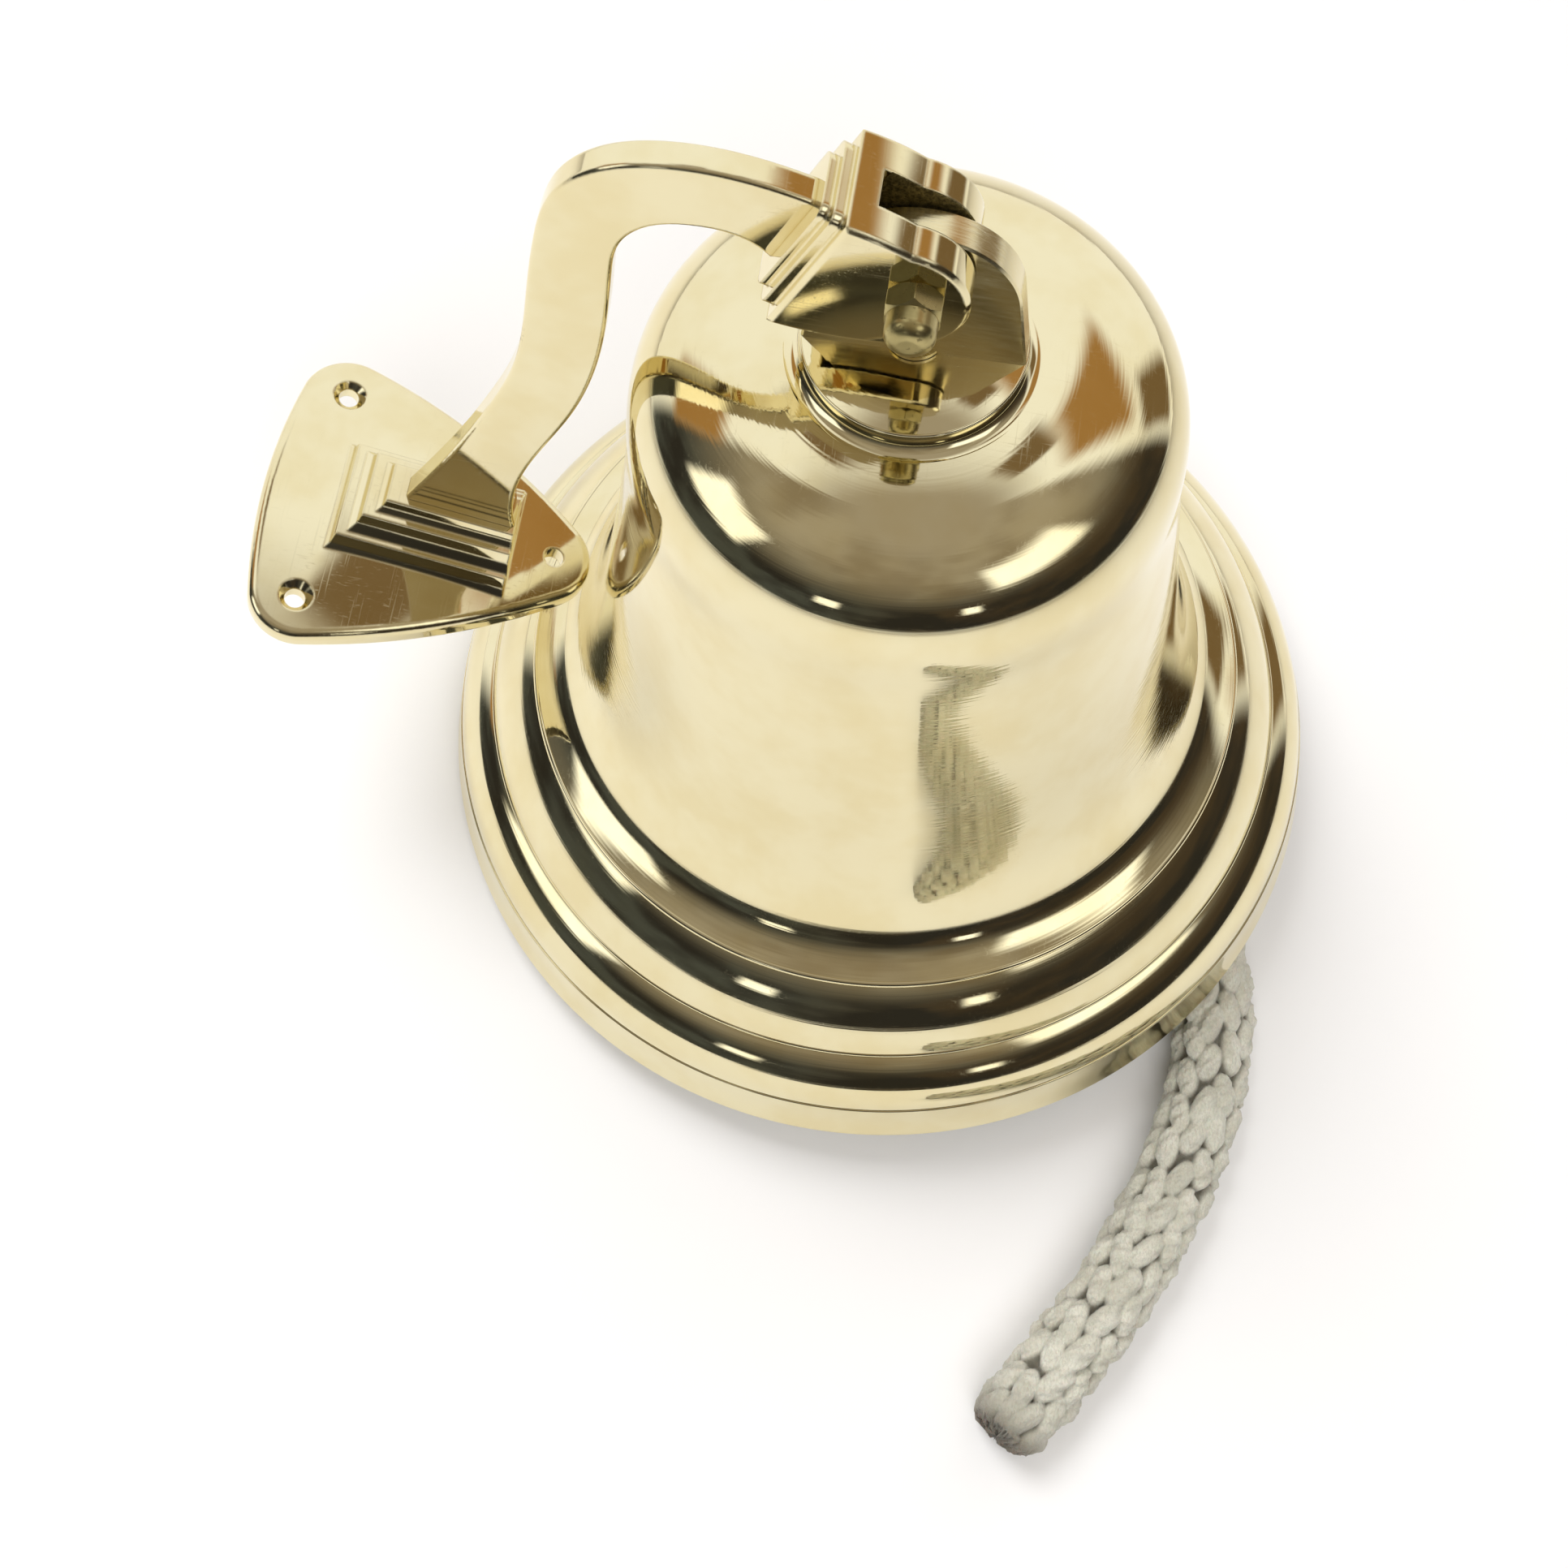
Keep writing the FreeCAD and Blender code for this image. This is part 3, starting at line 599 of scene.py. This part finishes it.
def build_rope():
    line, run = even_points(rope_line(), RING_STEP)
    points, crown, tangents = rope_mesh(line, run)
    rings = len(points)
    vertices = points.reshape(-1, 3).tolist()
    crowns = crown.reshape(-1).tolist()
    cuts = np.repeat(np.exp(-(run[-1] - run) / DIRT_REACH), AROUND).tolist()
    faces = []
    for ring in range(rings - 1):
        for k in range(AROUND):
            on = (k + 1) % AROUND
            a = ring * AROUND
            faces.append((a + k, a + on, a + AROUND + on, a + AROUND + k))
    draw = random.Random(5)
    for ring, way, cut in ((0, -1, 0.0), (rings - 1, 1, 1.0)):
        # Each end closes in shrinking rings and a middle point, ragged where it is cut
        previous = ring * AROUND
        for share in END_RINGS:
            base = len(vertices)
            centre = line[ring]
            for k in range(AROUND):
                ragged = draw.uniform(-1, 1) * END_RAGGED * cut
                out = centre + (points[ring, k] - centre) * share
                out = out + tangents[ring] * way * (END_BULGE * (1 - share * share) * cut + ragged)
                vertices.append(out.tolist())
                crowns.append(END_CROWN)
                cuts.append(cut)
            for k in range(AROUND):
                on = (k + 1) % AROUND
                quad = (previous + k, previous + on, base + on, base + k)
                faces.append(quad if way > 0 else quad[::-1])
            previous = base
        vertices.append((line[ring] + tangents[ring] * way * END_MIDDLE * cut).tolist())
        crowns.append(MIDDLE_CROWN)
        cuts.append(cut)
        middle = len(vertices) - 1
        for k in range(AROUND):
            tri = (previous + k, previous + (k + 1) % AROUND, middle)
            faces.append(tri if way > 0 else tri[::-1])
    mesh = bpy.data.meshes.new("rope_braid")
    mesh.from_pydata(vertices, [], faces)
    for name, values in (("crown", crowns), ("cut", cuts)):
        mesh.attributes.new(name, "FLOAT", "POINT").data.foreach_set("value", values)
    mesh.polygons.foreach_set("use_smooth", [True] * len(mesh.polygons))
    mesh.materials.append(cotton("cotton_braid"))
    mesh.update()
    rope = bpy.data.objects.new("rope_braid", mesh)
    bpy.context.scene.collection.objects.link(rope)
    return rope, line


rope, rope_route = build_rope()
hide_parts("rope_lanyard")
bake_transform(rope)


# ------------------------------------------------------- floor, light, camera

def build_floor():
    size = 3.0
    mesh = bpy.data.meshes.new("floor")
    corners = [(-size, -size, 0), (size, -size, 0), (size, size, 0), (-size, size, 0)]
    mesh.from_pydata(corners, [], [(0, 1, 2, 3)])
    material = bpy.data.materials.new("white_floor")
    tree = new_tree(material)
    grain = noise(tree, object_place(tree), 90.0, 3.0)
    inputs = {"Base Color": (0.93, 0.93, 0.935, 1), "Roughness": smooth(tree, grain, 0.2, 0.8, 0.55, 0.7)}
    shader = add(tree, "ShaderNodeBsdfPrincipled", inputs)
    shader.inputs["Specular IOR Level"].default_value = 0.2
    add(tree, "ShaderNodeOutputMaterial", {"Surface": shader.outputs[0]})
    mesh.materials.append(material)
    floor = bpy.data.objects.new("floor", mesh)
    bpy.context.scene.collection.objects.link(floor)


# Parts of the studio that the mirror brass shows, as directions in degrees:
# turn from straight in front of the bell (right positive), height, half widths, edge
DARK_SIDE = (5.0, 37.0, 112.0, 39.0, 4.0)
WARM_PANELS = [(-113.0, 34.0, 9.0, 12.0, 3.0), (140.0, 47.0, 15.0, 12.0, 4.0)]
WINDOWS = [
    (-74.0, 36.0, 15.0, 11.0, 3.0),
    (64.0, 50.0, 22.0, 9.0, 4.0),
    (-20.0, 21.0, 4.0, 4.0, 1.5),
    (30.0, 24.0, 3.0, 4.0, 1.5),
]
REAR_PANELS = [
    (152.0, 65.0, 9.0, 5.0, 2.0),
    (128.0, 16.0, 8.0, 14.0, 3.0),
    (-158.0, 62.0, 16.0, 6.0, 2.0),
]
CEILING_FROM, CEILING_TO = 62.0, 78.0
BACKDROP = (1.10, 1.10, 1.11, 1)
CEILING_TONE = (0.42, 0.37, 0.31, 1)
REAR_TONE = (0.21, 0.14, 0.07, 1)
WARM_TONE = (0.42, 0.23, 0.08, 1)
WINDOW_TONE = (1.6, 1.6, 1.6, 1)
# The dark side's tones: low down on the left, on the right and in patches, then
# high up, where it is paler, plain and in patches
DARK_LEFT = (0.075, 0.082, 0.082, 1)
DARK_RIGHT = (0.065, 0.048, 0.032, 1)
DARK_PATCH = (0.030, 0.028, 0.026, 1)
HIGH_PLAIN = (0.30, 0.25, 0.19, 1)
HIGH_PATCH = (0.44, 0.39, 0.32, 1)


def build_studio():
    world = bpy.data.worlds.new("studio")
    bpy.context.scene.world = world
    world.use_nodes = True
    tree = world.node_tree
    tree.nodes.clear()
    way = add(tree, "ShaderNodeTexCoord").outputs["Generated"]
    parts = add(tree, "ShaderNodeSeparateXYZ", {0: way}).outputs
    toward = calc(tree, "MULTIPLY", parts[1], -1.0)
    turn = calc(tree, "MULTIPLY", calc(tree, "ARCTAN2", parts[0], toward), math.degrees(1))
    rise = calc(tree, "MULTIPLY", calc(tree, "ARCSINE", parts[2]), math.degrees(1))

    def patch(region):
        middle, height, half_turn, half_rise, edge = region
        off_turn = calc(tree, "ABSOLUTE", calc(tree, "SUBTRACT", turn, middle))
        off_rise = calc(tree, "ABSOLUTE", calc(tree, "SUBTRACT", rise, height))
        inside_turn = smooth(tree, off_turn, half_turn - edge, half_turn + edge, 1.0, 0.0)
        inside_rise = smooth(tree, off_rise, half_rise - edge, half_rise + edge, 1.0, 0.0)
        return calc(tree, "MULTIPLY", inside_turn, inside_rise)

    cloud = smooth(tree, noise(tree, way, 3.0, 2.0), 0.35, 0.65)
    across = smooth(tree, turn, -25.0, 30.0)
    near = blend_colour(tree, across, DARK_LEFT, DARK_RIGHT)
    near = blend_colour(tree, cloud, near, DARK_PATCH)
    above = blend_colour(tree, cloud, HIGH_PLAIN, HIGH_PATCH)
    dark = blend_colour(tree, smooth(tree, rise, 24.0, 65.0), near, above)
    ceiling = smooth(tree, rise, CEILING_FROM, CEILING_TO)
    colour = blend_colour(tree, ceiling, BACKDROP, CEILING_TONE)
    for region in REAR_PANELS:
        colour = blend_colour(tree, patch(region), colour, REAR_TONE)
    colour = blend_colour(tree, patch(DARK_SIDE), colour, dark)
    for region in WARM_PANELS:
        colour = blend_colour(tree, patch(region), colour, WARM_TONE)
    for region in WINDOWS:
        colour = blend_colour(tree, patch(region), colour, WINDOW_TONE)
    # The dark side and the panels show in reflections only, behind a plain backdrop
    seen = add(tree, "ShaderNodeLightPath").outputs["Is Camera Ray"]
    colour = blend_colour(tree, seen, colour, BACKDROP)
    background = add(tree, "ShaderNodeBackground", {"Color": colour, "Strength": 1.0})
    add(tree, "ShaderNodeOutputWorld", {"Surface": background.outputs[0]})


def build_softbox(name, place, size, watts):
    light = bpy.data.lights.new(name, "AREA")
    light.shape = "DISK"
    light.size = size
    light.energy = watts
    lamp = bpy.data.objects.new(name, light)
    bpy.context.scene.collection.objects.link(lamp)
    lamp.visible_glossy = False
    lamp.location = place
    lamp.rotation_euler = (-Vector(place)).to_track_quat("-Z", "Y").to_euler()


def build_camera():
    """Standing in front of the bell and looking steeply down on it."""
    place = Vector((-0.0044, -0.1966, 0.4942))
    look = Vector((0.0081, 0.3437, -0.9390)).normalized()
    right = look.cross(Vector((-0.1682, 0.9262, 0.3375))).normalized()
    up = right.cross(look)
    data = bpy.data.cameras.new("camera")
    data.lens = 50.3
    data.sensor_width = 36.0
    data.clip_start = 0.01
    camera = bpy.data.objects.new("camera", data)
    bpy.context.scene.collection.objects.link(camera)
    camera.matrix_world = Matrix.Translation(place) @ Matrix((right, up, -look)).transposed().to_4x4()
    bpy.context.scene.camera = camera


build_floor()
build_studio()
build_softbox("key_light", (-0.7, 0.5, 1.5), 0.9, 13.0)
build_softbox("fill_light", (0.2, -1.1, 1.5), 1.2, 14.0)
build_camera()
bpy.context.scene.view_settings.view_transform = "Standard"
